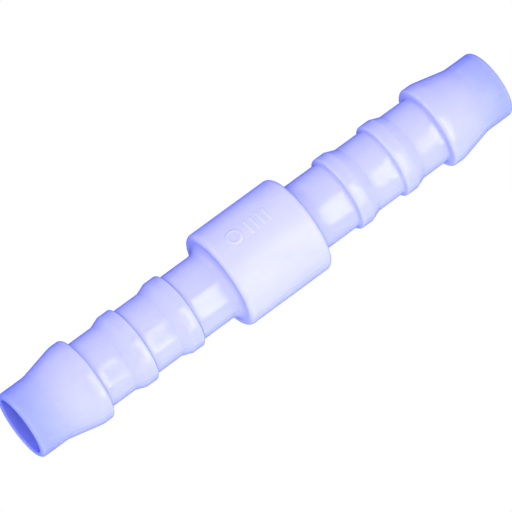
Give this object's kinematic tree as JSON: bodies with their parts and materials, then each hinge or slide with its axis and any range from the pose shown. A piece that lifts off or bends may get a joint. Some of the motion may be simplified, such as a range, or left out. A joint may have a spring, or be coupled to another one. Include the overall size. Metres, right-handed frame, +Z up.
{
  "type": "barbed hose connector",
  "caption": "Straight barbed hose connector in milky translucent plastic: a round centre collar with a barbed hose tail on each side and a through bore.",
  "frame": {"origin": "on the axis, at the middle of the centre collar, half way between the two lips", "axes": "+X along the bore towards the right lip, +Z up through the collar near its raised marks with the part lying on its side, +Y across"},
  "size_m": [0.0636, 0.0116, 0.0116],
  "materials": {
    "milky_plastic": "satin as-moulded surface, milky and translucent, with a lavender-blue cast that deepens in the bore and at the edges"
  },
  "bodies": {
    "root": {"centre_collar": "milky_plastic", "raised_marks": "milky_plastic", "left_tail": "milky_plastic", "left_inner_barb": "milky_plastic", "left_outer_barb": "milky_plastic", "left_end_barb": "milky_plastic", "left_nose": "milky_plastic", "right_tail": "milky_plastic", "right_inner_barb": "milky_plastic", "right_outer_barb": "milky_plastic", "right_end_barb": "milky_plastic", "right_nose": "milky_plastic"}
  },
  "joints": []
}
